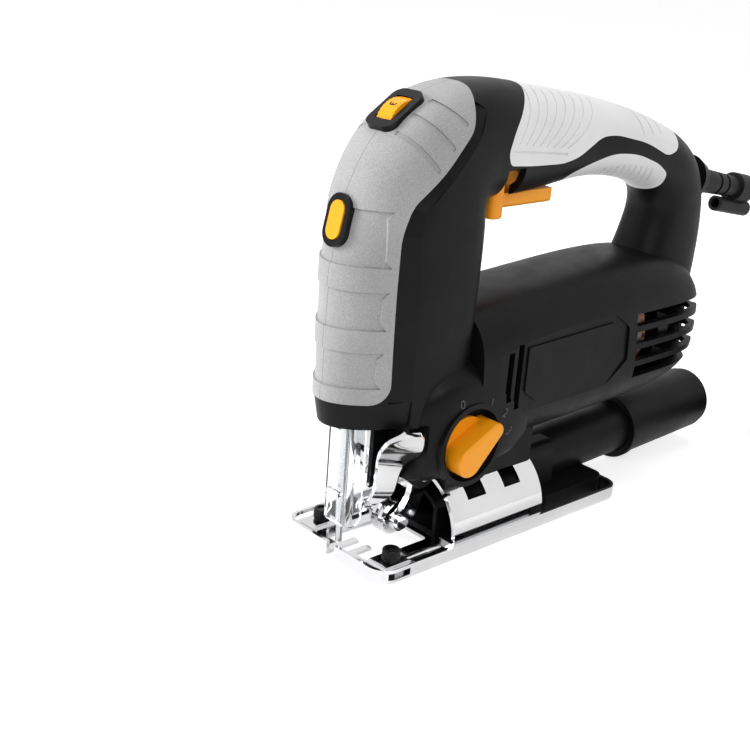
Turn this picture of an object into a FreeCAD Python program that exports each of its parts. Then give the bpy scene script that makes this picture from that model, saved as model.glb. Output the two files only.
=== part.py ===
"""Corded D-handle jigsaw. Millimetres, +X is the cutting direction, +Y the tool's left side, +Z up.
The origin lies on the sole plate's underside, on its centre line, below the middle of the bracket."""
import FreeCAD, Part
import math
import os

V = FreeCAD.Vector
X, Y, Z = V(1, 0, 0), V(0, 1, 0), V(0, 0, 1)

# ---- driving dimensions -------------------------------------------------------------------
SOLE_FRONT, SOLE_REAR = 79.5, -84.5                       # ends of the pressed steel sole
SOLE_W, SOLE_RIM, SHEET = 68.0, 6.5, 1.6
WALL = 3.0              # moulded housing wall
SKIN = 1.8              # thickness of the soft grip skins
GAP = 0.4               # free gap between pieces that move past each other
FIT = 0.05              # radial clearance of a running fit
TILT_Z = 5.0            # height of the bevel tilt axis
ARCH_R, ARCH_IN = 28.5, 26.5                              # arched bevel bracket
ARCH_X = 30.0           # half length of the bracket
PLUNGER_X, PLUNGER_R = 57.0, 4.5
STROKE = 18.0
CLAMP_LOW, CLAMP_TOP, CLAMP_R = 37.5, 47.0, 6.6           # blade clamp at the top of the stroke
MOTOR_Z = 81.0          # height of the armature axis
GEAR_TEETH, PINION_TEETH, MODULE = 42, 8, 0.8
GEAR_Z = MOTOR_Z + MODULE * (GEAR_TEETH + PINION_TEETH) / 2 + 0.15
GEAR_X0, GEAR_X1 = 32.0, 40.0
CASE_X0, CASE_X1, CASE_Y = 22.0, 46.5, 19.7               # gear case
SIDE_Y = 31.5           # half width of the motor housing
DIAL_X, DIAL_Z, DIAL_R = 28.0, 53.5, 17.0                 # recess of the orbital lever
NOSE_X, NOSE_TOP, NOSE_LOW = 60.0, 78.0, 66.0             # ring under the column
GUARD_W, GUARD_T, GUARD_X = 8.6, 1.5, 78.6                # clear guard: half width, wall, front
GUARD_LOW, GUARD_TOP, GUARD_LIFT = 17.0, 67.5, 16.0
LEVER_Y, LEVER_Z = 10.0, 37.0                             # hinge of the blade release lever
FORK_X, FORK_Z = 36.0, 33.0                               # pivot of the roller fork
ROLLER_X, ROLLER_Z, ROLLER_R = 45.0, 11.0, 8.0
WHEEL_X, WHEEL_Z, WHEEL_R = 55.1, 188.7, 12.0             # speed thumbwheel
WHEEL_HALF = 4.2        # half width of the thumbwheel
BUTTON_X, BUTTON_Z, BUTTON_SLOPE = 87.4, 154.0, 12.8      # lamp button on the front grip
TUBE_R, TUBE_IN, TUBE_TILT = 17.0, 14.35, 2.3             # dust tube sleeve
PORT_R, PORT_L = 15.5, 28.0                               # socket for a vacuum hose
TUBE_X, TUBE_Z = -30.0, 16.8                              # where the dust tube's axis starts
CORD_D = 7.2

parts = {}


# ---- small helpers ------------------------------------------------------------------------
def box(x0, x1, y0, y1, z0, z1):
    return Part.makeBox(x1 - x0, y1 - y0, z1 - z0, V(x0, y0, z0))


def rod(start, axis, radius, length):
    return Part.makeCylinder(radius, length, V(*start), axis)


def tube(start, axis, outer, inner, length):
    return rod(start, axis, outer, length).cut(rod(start, axis, inner, length))


def prism_xz(points, y0, y1):
    """Side-view polygon swept across the tool."""
    wire = Part.makePolygon([V(x, y0, z) for x, z in points + points[:1]])
    return Part.Face(wire).extrude(V(0, y1 - y0, 0))


def prism_xy(points, z0, z1):
    wire = Part.makePolygon([V(x, y, z0) for x, y in points + points[:1]])
    return Part.Face(wire).extrude(V(0, 0, z1 - z0))


def prism_yz(points, x0, x1):
    wire = Part.makePolygon([V(x0, y, z) for y, z in points + points[:1]])
    return Part.Face(wire).extrude(V(x1 - x0, 0, 0))


def rounded(x0, x1, y0, y1, z0, z1, radius):
    """Box with its four upright edges rounded."""
    block = box(x0, x1, y0, y1, z0, z1)
    upright = [e for e in block.Edges if abs(e.tangentAt(e.FirstParameter).z) > 0.9]
    return block.makeFillet(radius, upright)


def softened(shape, radius, pick=None):
    """Shape with all edges, or those that pick accepts, rounded."""
    return shape.makeFillet(radius, [e for e in shape.Edges if pick is None or pick(e)])


def stadium(centre, normal, up, half_w, half_h, back, front):
    """Upright oval plate on a sloping face, from back to front along the normal."""
    base = centre + normal * back
    side = normal.cross(up)
    rise = half_h - half_w
    top, low = base + up * rise, base - up * rise
    edges = [Part.makeLine(low + side * half_w, top + side * half_w),
             Part.Arc(top + side * half_w, top + up * half_w, top - side * half_w).toShape(),
             Part.makeLine(top - side * half_w, low - side * half_w),
             Part.Arc(low - side * half_w, low - up * half_w, low + side * half_w).toShape()]
    return Part.Face(Part.Wire(edges)).extrude(normal * (front - back))


def mirrored(shape):
    return shape.mirror(V(0, 0, 0), Y)


def both(shape):
    """The shape and its mirror image on the tool's other side, as one group."""
    return Part.makeCompound([shape, mirrored(shape)])


def save(name, shape):
    parts[name] = shape


def half_outline(centre, u_axis, plus, minus, half, n_plus, n_minus, count=11):
    """Left half of a rounded outline, squarer where n is large. plus and minus are its reaches."""
    points = []
    for i in range(count):
        t = math.pi * i / (count - 1)
        c, s = math.cos(t), math.sin(t)
        reach, n = (plus, n_plus) if c >= 0 else (-minus, n_minus)
        if i in (0, count - 1):
            s = 0
        points.append(centre + u_axis * (reach * abs(c) ** (2 / n)) + Y * (half * s ** (2 / n)))
    return points


def skin_half(rows):
    """Solid left half of a body from its half outlines: a smooth skin closed by flat faces."""
    around = [i / (len(rows[0]) - 1) for i in range(len(rows[0]))]
    poles = []
    for row in rows:
        curve = Part.BSplineCurve()
        curve.interpolate(Points=row, Parameters=around)
        poles.append(curve.getPoles())
    spans = len(rows) - 3
    surface = Part.BSplineSurface()
    surface.buildFromPolesMultsKnots(
        poles, [4] + [1] * (spans - 1) + [4], curve.getMultiplicities(),
        [i / spans for i in range(spans + 1)], curve.getKnots(), False, False, 3, 3)
    skin = surface.toShape()
    ends = [row[0::len(row) - 1] for row in (rows[0], rows[-1])]
    lines = [Part.makeLine(a, b) for a, b in ends]
    borders = {}
    for edge in skin.Edges:
        middle = edge.valueAt((edge.FirstParameter + edge.LastParameter) / 2)
        if abs(middle.y) < 1e-6:
            borders.setdefault("flat", []).append(edge)
        elif (edge.valueAt(edge.FirstParameter) - rows[0][0]).Length < 1e-3 or \
                (edge.valueAt(edge.LastParameter) - rows[0][0]).Length < 1e-3:
            borders["start"] = edge
        else:
            borders["end"] = edge
    faces = [skin]
    faces.append(Part.Face(Part.Wire(Part.__sortEdges__([borders["start"], lines[0]]))))
    faces.append(Part.Face(Part.Wire(Part.__sortEdges__([borders["end"], lines[1]]))))
    faces.append(Part.Face(Part.Wire(Part.__sortEdges__(borders["flat"] + lines))))
    shell = Part.makeShell(faces)
    shell.sewShape()
    solid = Part.makeSolid(shell)
    if solid.Volume < 0:
        solid.reverse()
    return solid


def facet_half(rows):
    """Plain faceted solid just inside the smooth one, for hollows that nobody sees."""
    faces = []
    inner = [[(a + b * 4 + c) * (1 / 6) for a, b, c in zip(*three)]
             for three in zip(rows, rows[1:], rows[2:])]
    rows = [rows[0]] + inner + [rows[-1]]

    def add(*corners):
        faces.append(Part.Face(Part.makePolygon(list(corners) + [corners[0]])))

    for low, high in zip(rows, rows[1:]):
        for i in range(len(low) - 1):
            add(low[i], low[i + 1], high[i + 1])
            add(low[i], high[i + 1], high[i])
        add(low[0], low[-1], high[-1])
        add(low[0], high[-1], high[0])
    for end in (rows[0], rows[-1]):
        add(*end)
    shell = Part.makeShell(faces)
    shell.sewShape()
    solid = Part.makeSolid(shell)
    if solid.Volume < 0:
        solid.reverse()
    return solid


# ---- outer forms of the housing ------------------------------------------------------------
# Stations of the D shape, from the nose over the handle and down the rear leg:
# inner end (x, z), direction outwards in degrees from +X towards +Z, whole depth, outer share,
# half width, squareness outside and inside.
LOOP = [
    (19, 50, 0, 72, 42, 24, 1.9, 4),
    (19, 78, 0, 72, 42, 24.5, 1.9, 4),
    (19, 117, 0, 72.5, 42, 26, 1.9, 4),
    (18, 141, 0, 72, 38, 26, 2.0, 4),
    (17, 150, 12, 70, 32, 26, 2.2, 3.6),
    (17, 157, 35, 63.5, 27, 25, 2.5, 3.2),
    (12, 158, 60, 57, 25, 23, 2.6, 3),
    (6, 157, 85, 52, 25, 20.5, 2.6, 3),
    (-17, 157, 93, 47, 23, 17, 2.4, 3),
    (-42, 160.5, 96, 40, 20, 16.5, 2.3, 2.6),
    (-66, 161, 99, 35, 18, 17, 2.2, 2.2),
    (-92, 157, 107, 32.5, 17, 17, 2.2, 2.2),
    (-111, 150.5, 137, 36, 18, 16.5, 2.2, 2.2),
    (-114.5, 141.5, 161, 42, 20.5, 15.5, 2.3, 2.4),
    (-111, 130, 176, 48, 24, 15.5, 2.4, 2.6),
    (-105.5, 116, 180, 52.5, 26, 16.5, 2.5, 2.8),
    (-100, 98, 180, 52.5, 26, 19, 2.6, 3),
]
# Motor housing stations: x, low z, high z, half width, squareness
BARREL = [
    (24, 42, 112, 30.5, 3.0),
    (5, 42, 115, 31.2, 3.0),
    (-30, 43, 117, 31.5, 3.0),
    (-70, 44, 120, 31.5, 3.0),
    (-105, 45.5, 120.5, 31.5, 3.0),
    (-128, 49, 117.5, 30.5, 3.0),
    (-139.5, 53, 111, 27.5, 3.0),
    (-146, 59, 103, 22, 3.0),
]
# Gearbox stations: x, low z, high z, half width, squareness
GEARBOX = [
    (58, 40, 78, 22, 3.2),
    (52, 35, 86, 27.5, 3.6),
    (44, 34.5, 90, 30.8, 4),
    (28, 34.3, 92, 31.5, 4),
    (8, 34.5, 88, 31.5, 4),
    (-2, 36, 80, 31, 3.6),
    (-10, 42, 70, 29.5, 3),
]


def loop_form(inset=0.0, build=skin_half, count=11):
    rows = []
    for x, z, degrees, depth, outer, half, n_out, n_in in LOOP:
        a = math.radians(degrees)
        out = V(math.cos(a), 0, math.sin(a))
        centre = V(x, 0, z) + out * (depth - outer)
        rows.append(half_outline(centre, out, outer - inset, depth - outer - inset, half - inset,
                                 n_out, n_in, count))
    return build(rows)


def barrel_form(stations, inset=0.0, build=skin_half, count=11):
    rows = []
    for x, low, high, half, n in stations:
        if x == stations[-1][0]:
            x += inset
        if x == stations[0][0]:
            x -= inset
        middle = (low + high) / 2
        reach = (high - low) / 2 - inset
        rows.append(half_outline(V(x, 0, middle), Z, reach, reach, half - inset, n, n, count))
    return build(rows)


# Side-view outlines of the grip skins, rounded at every corner
FRONT_GRIP = [(130, 78), (70, 78), (71, 100), (72, 125), (72, 150), (68, 162), (60, 169),
              (52, 175.5), (44, 183.5), (37, 190), (33, 202), (26, 212), (22, 240), (130, 240)]
UPPER_GRIP = [(-8, 240), (-8, 210), (2, 198), (9, 188), (12.5, 179), (10, 173.5), (-8, 171.7), (-30, 170.8),
              (-40, 172.8), (-55, 181.5), (-66, 181.5), (-90, 176.5), (-108, 169), (-117, 171),
              (-121, 180), (-128, 198), (-128, 240)]
LOWER_GRIP = [(-36, 163.5), (-50, 169), (-66, 173), (-84, 171.5), (-102, 165.5), (-111, 160),
              (-112, 153), (-104, 146), (-90, 140), (-36, 140)]
BAND_DEPTH, GROOVE_DEPTH, GROOVE_HALF = 0.9, 0.55, 0.45   # relief of the grips
BANDS = [(85, 101), (110.5, 127), (137, 160)]             # low and high edge of the front bands
SHOULDER_SLOTS = [((73, 196), (57, 176)), ((65, 202), (49, 184)), ((58, 208), (41, 193))]


def rounded_wire(points, y):
    """Closed side-view outline whose corners are arcs tangent to their two runs."""
    edges, ends = [], []
    corners = [V(x, y, z) for x, z in points]
    for i, corner in enumerate(corners):
        a, b = corner - corners[i - 1], corners[(i + 1) % len(corners)] - corner
        reach = 0.4 * min(a.Length, b.Length)
        half_turn = a.getAngle(b) / 2
        radius = reach / math.tan(half_turn)
        a.normalize()
        b.normalize()
        inward = b - a
        inward.normalize()
        middle = corner + inward * (radius / math.cos(half_turn) - radius)
        start, end = corner - a * reach, corner + b * reach
        edges.append(Part.Arc(start, middle, end).toShape())
        ends.append((start, end))
    for (_, end), (start, _) in zip(ends, ends[1:] + ends[:1]):
        edges.append(Part.makeLine(end, start))
    return Part.Wire(Part.__sortEdges__(edges))


def smooth_prism(points, y0, y1):
    return Part.Face(rounded_wire(points, y0)).extrude(V(0, y1 - y0, 0))


def slot_prism(start, end, half, y0, y1):
    """Straight side-view groove with round ends, swept across the tool."""
    a, b = V(start[0], y0, start[1]), V(end[0], y0, end[1])
    along = b - a
    along.normalize()
    side, along = Y.cross(along) * half, along * half
    edges = [Part.makeLine(a + side, b + side), Part.Arc(b + side, b + along, b - side).toShape(),
             Part.makeLine(b - side, a - side), Part.Arc(a - side, a - along, a + side).toShape()]
    return Part.Face(Part.Wire(edges)).extrude(V(0, y1 - y0, 0))


def bowed_prism(start, end, bow, half, y0, y1):
    """Side-view groove between two arcs about one centre, bowed sideways from its chord."""
    a, b = V(start[0], y0, start[1]), V(end[0], y0, end[1])
    along = b - a
    reach = along.Length / 2
    along.normalize()
    side = Y.cross(along)
    middle = (a + b) * 0.5
    radius = (reach ** 2 + bow ** 2) / (2 * bow)
    centre = middle - side * (radius - bow)
    arcs, ends = [], []
    for r in (radius - half, radius + half):
        three = [centre + (point - centre) * (r / radius) for point in (a, middle + side * bow, b)]
        arcs.append(Part.Arc(*three).toShape())
        ends.append((three[0], three[2]))
    lines = [Part.makeLine(ends[0][i], ends[1][i]) for i in (0, 1)]
    wire = Part.Wire(Part.__sortEdges__(arcs + lines))
    return Part.Face(wire).extrude(V(0, y1 - y0, 0))


def front_bands():
    """Side-view areas that lie a little lower on the front grip."""
    bands = []
    for low, high in BANDS:
        edge = [(130, low), (74.5, low), (77, low + 3), (77, high - 3), (74.5, high), (130, high)]
        bands.append(prism_xz(edge, -1, 60))
    return bands


def grip_grooves():
    """Slots on the front grip's shoulder and the sweeping grooves of the handle's two grips."""
    grooves = [slot_prism(a, b, 1.1, 9, 60) for a, b in SHOULDER_SLOTS]
    for i in range(8):
        top, low = (-4 - 7.1 * i, 206), (6 - 5.2 * i, 182.2 - 0.65 * i)
        grooves.append(bowed_prism(top, low, 2 + 0.4 * i, GROOVE_HALF, 1.5, 60))
    grooves.append(slot_prism((9, 179.6), (-31, 175.2), GROOVE_HALF, 8, 60))
    for x in (-84, -92, -100):
        grooves.append(slot_prism((x, 196), (x - 3, 180), GROOVE_HALF, 6, 60))
    for i in range(12):
        x = -52 - 4.2 * i
        grooves.append(slot_prism((x, 166 - 0.006 * (x + 76) ** 2), (x - 7, 150), GROOVE_HALF, 4, 60))
    return grooves


def grip_skin(whole, inner, outline):
    return whole.cut(inner).common(smooth_prism(outline, -1, 60))


def relief_tools(loop):
    """Material between the outer form and the deeper forms inside the bands and grooves."""
    bands = Part.makeCompound(front_bands()).cut(loop_form(BAND_DEPTH))
    grooves = Part.makeCompound(grip_grooves()).cut(loop_form(GROOVE_DEPTH))
    return [bands, grooves]


# Places along the front grip's rear edge, and along the crease where the side panel begins
EDGE_PAIRS = [((71, 77), (60, 77)), ((72, 100), (60.5, 100)), ((73, 125), (61.5, 125)),
              ((73, 150), (63.5, 150)), ((69, 162.5), (62.5, 159.5)),
              ((52.8, 176.3), (48.5, 171.5)), ((38, 190.6), (33.5, 186)), ((34, 202), (27.5, 198))]


def edge_slope(form):
    """Wedge that lets the side slope down to the front grip's rear edge."""
    wires = []
    for (x1, z1), (x0, z0) in EDGE_PAIRS:
        y0, y1 = [Part.makeLine(V(x, 0, z), V(x, 60, z)).common(form).BoundBox.YMax
                  for x, z in ((x0, z0), (x1, z1))]
        corners = [V(x0, y0 + 0.05, z0), V(x1, y1 - EDGE_DEPTH, z1), V(x1, y1 + 4, z1), V(x0, y0 + 2, z0)]
        wires.append(Part.makePolygon(corners + corners[:1]))
    return Part.makeLoft(wires, True, True)


EDGE_DEPTH = 1.6


def logo_outline():
    return [(14, 92), (13, 77), (-6, 62), (-61, 60.5), (-78, 74), (-76.5, 91), (-65, 99), (4, 97.5)]


def side_features(shell):
    """Recessed side panel with a raised bare plate, air slots and diagonal grooves."""
    shell = shell.cut(prism_xz(logo_outline(), SIDE_Y - 1.3, 50))
    plate = prism_xz([(-12, 66), (-4, 72), (-4, 93), (-64, 95), (-72.5, 89), (-74, 75), (-60, 64.5)],
                     SIDE_Y - 3.2, SIDE_Y - 0.5)
    shell = shell.fuse(plate)
    cuts = []
    for x, low, high in ((6.5, 69, 92), (0.5, 64.5, 95)):
        cuts.append(box(x - 1.8, x + 1.8, 20, 50, low, high))
    for i in range(3):
        x = -14 - 13 * i
        cuts.append(prism_xz([(x, 47), (x + 4.5, 47), (x - 3, 57), (x - 7.5, 57)], SIDE_Y - 1.6, 50))
    return shell.cut(cuts)


def rear_vents():
    """Four slots on each side that run round the rear corner."""
    slots = []
    for i in range(4):
        low = 62.5 + 9.2 * i
        front = -86 + 1.2 * i
        slots.append(box(-160, front, 15, 60, low, low + 6.2))
    return slots


SCREW_R = 1.7
SCREWS = [(12, 193), (-113, 161), (-140, 118), (-136, 66), (-4, 51), (24, 132)]


def lever_scoop(margin=0.0):
    """Sloping finger room behind the blade release lever, on the left of the nose."""
    slope = [(11.7, 30), (11.7, 46), (12.6, 49.4), (17.9, 57.6), (22.6, 63.6), (24.8, 66.4)]
    points = [(y - margin, z) for y, z in slope] + [(60, 66.4 + margin), (60, 30)]
    return prism_yz(points, 51.4 - margin, 77 + margin)


def scoop_wall(form):
    """Wall that closes the housing behind the finger room."""
    return lever_scoop(2.2).cut(lever_scoop()).common(form)


def slope_frame(x, z, degrees):
    """Centre, outward normal and upward direction of a sloping place on the front."""
    a = math.radians(degrees)
    return V(x, 0, z), V(math.cos(a), 0, math.sin(a)), V(-math.sin(a), 0, math.cos(a))


BUTTON = slope_frame(BUTTON_X, BUTTON_Z, BUTTON_SLOPE)
BEZEL = slope_frame(60.5, 196.7, 56)
BEZEL_W, BEZEL_L = 8.3, 11.8            # half width and half length of the thumbwheel's bezel


def housing_half():
    """Left half of the housing as a hollow moulding, the D handle's form and the whole form."""
    loop, loop_in = loop_form(), loop_form(WALL, facet_half, 9)
    barrel, barrel_in = barrel_form(BARREL), barrel_form(BARREL, WALL, facet_half, 9)
    gearbox, gearbox_in = barrel_form(GEARBOX), barrel_form(GEARBOX, WALL, facet_half, 9)
    outer = loop.fuse([barrel, gearbox])
    outer = outer.cut(box(NOSE_X, 120, -1, 60, 0, NOSE_TOP))
    hollow = loop_in.fuse([barrel_in, gearbox_in])
    shell = side_features(outer.cut(hollow))
    ribs = []
    for x0, x1, radius in ((-131, -122, 9.6), (-88, -84, 28.05), (-44, -40, 28.05)):
        slab = barrel_in.common(box(x0, x1, 0, 60, 0, 200))
        ribs.append(slab.cut(rod((x0 - 1, 0, MOTOR_Z), X, radius, x1 - x0 + 2)))
    for x, z in SCREWS:
        ribs.append(rod((x, 0, z), Y, 4.2, 40).common(hollow))
    ribs.append(box(TRIGGER_NOTCH[1], TRIGGER_NOTCH[1] + 2, 0, 60, 145, 190).common(hollow))
    ribs.append(cord_boss().common(box(-200, 0, 0, 60, 100, 200)))
    shell = shell.fuse(ribs)
    cuts = rear_vents()
    cuts.append(box(46.8, NOSE_X + 1, -1, GUARD_W + 0.8, 20, GUARD_TOP + GUARD_LIFT + 1))
    cuts.append(box(-29, 29, -1, 18, 20, 46))
    cuts += front_openings()
    cuts.append(box(*TRIGGER_NOTCH, -1, 60, 140, 171.5))
    cuts.append(box(30, 48, -1, 8.8, 20, 38.5))
    cuts.append(cord_axis_rod(6.6, -14, 40))
    cuts.append(cord_axis_rod(9, -13, 3))
    cuts += [rod((x, -1, z), Y, SCREW_R, 13) for x, z in SCREWS]
    return shell.cut(cuts), loop, outer


TRIGGER_NOTCH = (-2.5, 10.5)             # where the trigger's pad shows on both sides


def wheel_space():
    return rod((WHEEL_X, -WHEEL_HALF - 0.6, WHEEL_Z), Y, WHEEL_R + 0.7, 2 * WHEEL_HALF + 1.2)


def bezel_plate(half_w, half_l, corner, back, front):
    """Plate with rounded corners on the slope that carries the thumbwheel."""
    centre, normal, up = BEZEL
    side = normal.cross(up)
    corners = [centre + normal * back + side * (half_w * a) + up * (half_l * b)
               for a, b in ((-1, -1), (1, -1), (1, 1), (-1, 1), (-1, -1))]
    plate = Part.Face(Part.makePolygon(corners)).extrude(normal * (front - back))
    return softened(plate, corner, lambda e: abs(e.tangentAt(e.FirstParameter).dot(normal)) > 0.9)


def front_openings():
    """Openings for the lamp button, the thumbwheel with its bezel, and the trigger."""
    return [stadium(*BUTTON, 6.5, 11, -5, 12), bezel_plate(BEZEL_W, BEZEL_L, 5, -2.2, 30), wheel_space(),
            box(-37.5, TRIGGER_NOTCH[1], -1, 9.6, 140, 171.5)]


# ---- mains cord ---------------------------------------------------------------------------
CORD_OUT = V(-0.981, 0, -0.194)                            # direction in which the cord leaves
CORD_ROOT = V(-155, 0, 151.2)                              # where its axis crosses the rear wall


def cord_axis_rod(radius, start, length):
    return Part.makeCylinder(radius, length, CORD_ROOT + CORD_OUT * start, CORD_OUT)


def housing_pair():
    half, loop, outer = housing_half()
    skins = {}
    core = loop_form(SKIN, facet_half, 9)
    outlines = {"front_grip": FRONT_GRIP, "upper_grip": UPPER_GRIP, "lower_grip": LOWER_GRIP}
    for name, outline in outlines.items():
        skins[name] = grip_skin(loop, core, outline).cut(front_openings())
    half = half.cut(list(skins.values())).cut(edge_slope(loop))
    relief = relief_tools(loop)
    skins = {name: skin.cut(relief) for name, skin in skins.items()}
    for name, skin in skins.items():
        save(name + "_left", skin)
        save(name + "_right", mirrored(skin))
    return half, outer


def orbital_cup():
    """Round recess in the left side that holds the orbital selector."""
    cup = rod((DIAL_X, 22.4, DIAL_Z), Y, DIAL_R + 2.5, 9.3)
    return cup.cut(rod((DIAL_X, 24.8, DIAL_Z), Y, DIAL_R, 12))


def housing_shells():
    half, outer = housing_pair()
    cheek = prism_xz([(31.5, 40), (31.5, 30), (34, 27.5), (39, 27.5), (46, 33), (46, 40)], 9, 12.2)
    half = half.fuse(cheek).cut(rod((FORK_X, 0, FORK_Z), Y, 2.5, 12.4))
    right = mirrored(half)
    liner = scoop_wall(outer).cut(box(46.8, NOSE_X + 1, -1, GUARD_W + 0.8, 20, GUARD_TOP + GUARD_LIFT + 1))
    left = half.cut(lever_scoop()).fuse(liner)
    left = left.cut(rod((DIAL_X, 22.4, DIAL_Z), Y, DIAL_R + 2.4, 20)).fuse(orbital_cup())
    left = left.cut(rod((DIAL_X, 20, DIAL_Z), Y, 4 + FIT, 8))
    save("housing_left", left)
    save("housing_right", right)


NOSE_STEP = (NOSE_TOP - NOSE_LOW) / 5


def nose_ring():
    """Separate black nose under the column, with the cavity in which the guard slides."""
    rows = []
    for i in range(6):
        inset = 0.6 + 0.5 * i                   # the ring narrows downwards in front
        rows.append(half_outline(V(49, 0, NOSE_TOP - NOSE_STEP * i), X, 42 - inset, 30,
                                 24.5 - 0.5 * inset, 1.9, 4))
    form = skin_half(rows).common(box(NOSE_X, 120, -1, 60, NOSE_LOW, NOSE_TOP))
    half = form.cut(loop_form(WALL, facet_half, 9).common(box(NOSE_X, 120, -1, 60, NOSE_LOW + 2.5, 120)))
    half = half.cut(box(40, GUARD_X + 0.6, -1, GUARD_W + 0.6, 20, GUARD_TOP + GUARD_LIFT + 0.6))
    outside = form.cut(box(NOSE_X - 1, 120, -2, GUARD_W + 0.6, NOSE_LOW - 1, NOSE_TOP + 1))
    left = half.cut(lever_scoop()).fuse(scoop_wall(outside))
    hanger = box(NOSE_X + 0.4, 69, GUARD_W + 0.6, 11.4, 42, NOSE_LOW + 1)
    ear = [(9, 42.5), (9, 35.6), (11, 35.6), (11.4, 42.5)]
    ears = [prism_yz(ear, x0, x0 + 2) for x0 in (NOSE_X + 0.4, 67)]
    left = left.fuse([hanger] + ears)
    left = left.cut(rod((NOSE_X - 1, LEVER_Y, LEVER_Z), X, HINGE_R, 12))
    return left.fuse(mirrored(half))


HINGE_R = 0.7


def lever_pin():
    return rod((NOSE_X + 0.2, LEVER_Y, LEVER_Z), X, HINGE_R, 9.0)


def leaf(stations, thickness):
    """Smooth thin plate through cross lines: each station has its front and its rear end."""
    rows = []
    for i, (front, rear) in enumerate(stations):
        before = stations[max(i - 1, 0)]
        after = stations[min(i + 1, len(stations) - 1)]
        along = V(*after[0]) + V(*after[1]) - V(*before[0]) - V(*before[1])
        across = V(*front) - V(*rear)
        normal = along.cross(across)
        normal.normalize()
        half = normal * (thickness / 2)
        rows.append(Part.makePolygon([V(*front) + half, V(*rear) + half, V(*rear) - half,
                                      V(*front) - half, V(*front) + half]))
    return Part.makeLoft(rows, True, False)


LEVER = [((70.4, 4, 24.2), (67.0, 4, 22.2)), ((68.6, 8.6, 29.2), (63.5, 8.6, 25.2)),
         ((68.6, 13.2, 34.6), (58.0, 12.6, 30)), ((68.2, 13.8, 43), (56.4, 13.8, 36)),
         ((69.2, 15.0, 49.4), (54.8, 15.0, 43.5)), ((72.4, 20.4, 57.6), (52.8, 20.4, 50)),
         ((71.4, 25.4, 63.6), (53.4, 25.6, 57)), ((66, 27.4, 66.6), (57, 27.6, 63))]


def release_lever():
    knuckle = rod((NOSE_X + 2.8, LEVER_Y, LEVER_Z), X, 1.5, 3.8)
    web = box(NOSE_X + 2.8, NOSE_X + 6.6, LEVER_Y, 14, LEVER_Z - 1.4, LEVER_Z + 1.4)
    lever = leaf(LEVER, 2.0).fuse([knuckle, web])
    return lever.cut(rod((NOSE_X, LEVER_Y, LEVER_Z), X, HINGE_R + FIT, 12))


# ---- gear case, drive and plunger -----------------------------------------------------------
def gear_case():
    y = CASE_Y
    plate = box(CASE_X0, 28, -y, y, 64, 84).fuse(box(CASE_X0 + 2, 28, -13.5, 13.5, 84, 120))
    plate = plate.cut([rod((20, 0, MOTOR_Z), X, 11, 20), rod((20, 0, GEAR_Z), X, 4, 20)])
    walls = both(box(28, CASE_X1, y - 1.5, y, 64, 84).fuse(box(37, CASE_X1, y - 1.5, y, 84, 122)))
    rib = box(43, CASE_X1, -9, 9, 122, 152)
    rails = [box(43, CASE_X1, -y, y, 64, 84), box(43, CASE_X1, -y, y, 114.5, 122)]
    upper = rounded(43, 66, -9, 9, 138, 152, 3)
    lower = box(43, 63, -6.7, 6.7, 50, 62).fuse(box(43, CASE_X1, -9, 9, 50, 66))
    case = plate.fuse([*walls.Solids, rib, *rails, upper, lower]).removeSplitter()
    case = case.cut(rod((PLUNGER_X, 0, 40), Z, 5.6, 120))
    return case.cut(rod((40, 0, MOTOR_Z), X, 5, 10))


def bushes():
    return Part.makeCompound([tube((PLUNGER_X, 0, low), Z, 5.6, PLUNGER_R + FIT, high - low)
                              for low, high in ((50, 62), (138, 152))])


def ball_bearing(x0, x1, outer, inner):
    """Bearing seen from its side: two rings with a sunk shield between them."""
    ring = tube((x0, 0, MOTOR_Z), X, outer, inner, x1 - x0)
    groove = (outer + inner) / 2
    cuts = [tube((x, 0, MOTOR_Z), X, groove + 1.6, groove - 1.6, 0.8) for x in (x0, x1 - 0.8)]
    return ring.cut(cuts)


def tooth_wheel(teeth, tip, root, share_tip, share_root, x0, x1, z, phase):
    """Spur wheel with straight-flanked teeth."""
    points = []
    pitch = 2 * math.pi / teeth
    for i in range(teeth):
        for radius, side in ((root, -share_root), (tip, -share_tip), (tip, share_tip), (root, share_root)):
            a = phase + pitch * (i + side / 2)
            points.append(V(x0, radius * math.sin(a), z + radius * math.cos(a)))
    wire = Part.makePolygon(points + points[:1])
    return Part.Face(wire).extrude(V(x1 - x0, 0, 0))


GEAR_PITCH, PINION_PITCH = MODULE * GEAR_TEETH / 2, MODULE * PINION_TEETH / 2
ECCENTRIC = STROKE / 2
PIN_END = 47.0
YOKE_X0, YOKE_X1 = 47.4, 51.6


def drive_gear():
    wheel = tooth_wheel(GEAR_TEETH, GEAR_PITCH + MODULE * 0.9, GEAR_PITCH - MODULE * 1.25,
                        0.28, 0.72, GEAR_X0, GEAR_X1, GEAR_Z, math.pi / GEAR_TEETH)
    wheel = wheel.cut(tube((GEAR_X0 - 1, 0, GEAR_Z), X, 13.5, 7.5, 3))
    hub = rod((28.4, 0, GEAR_Z), X, 6.5, 10)
    pin = rod((GEAR_X1 - 2, 0, GEAR_Z + ECCENTRIC), X, 3, PIN_END - GEAR_X1 + 2)
    gear = wheel.fuse([hub, pin])
    return gear.cut([rod((20, 0, GEAR_Z), X, 4 + FIT, 30), rod((GEAR_X1 - 1.2, 0, GEAR_Z), X, 6, 3)])


def gear_spindle():
    pin = rod((CASE_X0 + 2, 0, GEAR_Z), X, 4, GEAR_X1 - CASE_X0 - 1.4)
    return pin.fuse(rod((GEAR_X1 - 0.8, 0, GEAR_Z), X, 5.4, 1.0)).removeSplitter()


def armature_shaft():
    pinion = tooth_wheel(PINION_TEETH, PINION_PITCH + MODULE * 0.9, PINION_PITCH - MODULE * 1.2,
                         0.24, 0.78, 30, 42, MOTOR_Z, 0)
    return rod((-130, 0, MOTOR_Z), X, 4, 160).fuse(pinion)


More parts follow.
